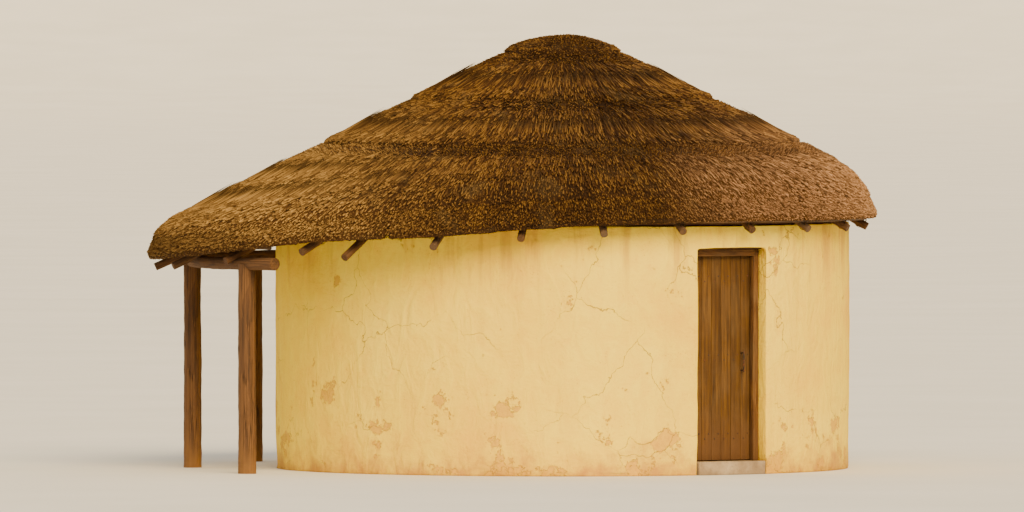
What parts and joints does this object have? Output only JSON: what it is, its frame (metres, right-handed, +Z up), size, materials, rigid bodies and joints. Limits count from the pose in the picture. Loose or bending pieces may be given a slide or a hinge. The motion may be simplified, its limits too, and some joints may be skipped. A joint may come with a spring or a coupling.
{
  "type": "round thatched hut",
  "caption": "Round plastered hut with a low conical thatched roof that runs on over a small porch on posts, and one plank door.",
  "frame": {"origin": "on the ground, on the axis of the round wall, at the middle of the floor's underside", "axes": "+Z up, -Y towards the viewer of the picture, -X towards the porch"},
  "size_m": [7.179, 6.4104, 4.2346],
  "materials": {
    "plaster": "lime-washed mud plaster, hand smoothed",
    "earth_floor": "polished earth",
    "step_stone": "rough stone, worn on top",
    "gum_pole": "peeled gum pole, weathered",
    "lath": "thin sapling, bark on",
    "frame_timber": "sawn timber, old brown paint",
    "door_board": "planed boards, old brown paint",
    "black_iron": "forged iron, dull and dark",
    "thatch": "dry thatching grass, weathered dark brown"
  },
  "bodies": {
    "hut": {"floor_slab": "earth_floor", "threshold": "step_stone", "wall_beside_door_left": "plaster", "wall_beside_door_right": "plaster", "wall_over_door": "plaster", "wall_left": "plaster", "wall_right": "plaster", "wall_back_left": "plaster", "wall_back_right": "plaster", "lintel": "frame_timber", "wall_plate": "gum_pole", "door_jamb_left": "frame_timber", "door_jamb_right": "frame_timber", "door_head": "frame_timber", "hinge_plates": "black_iron", "king_boss": "gum_pole", "main_rafters": "gum_pole", "jack_rafters": "gum_pole", "battens_upper": "lath", "battens_middle": "lath", "battens_lower": "lath", "battens_eave": "lath", "thatch_crown": "thatch", "thatch_upper": "thatch", "thatch_middle": "thatch", "thatch_eave_front": "thatch", "thatch_eave_right": "thatch", "thatch_eave_back": "thatch", "thatch_porch": "thatch", "porch_post_front": "gum_pole", "porch_post_middle": "gum_pole", "porch_post_back": "gum_pole", "porch_beam": "gum_pole", "porch_rafters": "gum_pole", "porch_battens": "lath"},
    "door": {"door_leaf": "door_board", "door_ledges": "door_board", "door_hinges": "black_iron", "door_handle": "black_iron"}
  },
  "joints": [
    {"name": "door_hinge", "type": "hinge", "parent": "hut", "child": "door", "pos_m": [1.19001, -2.23677, 1.1], "axis": [0, 0, 1], "range_deg": [0, 100]}
  ]
}
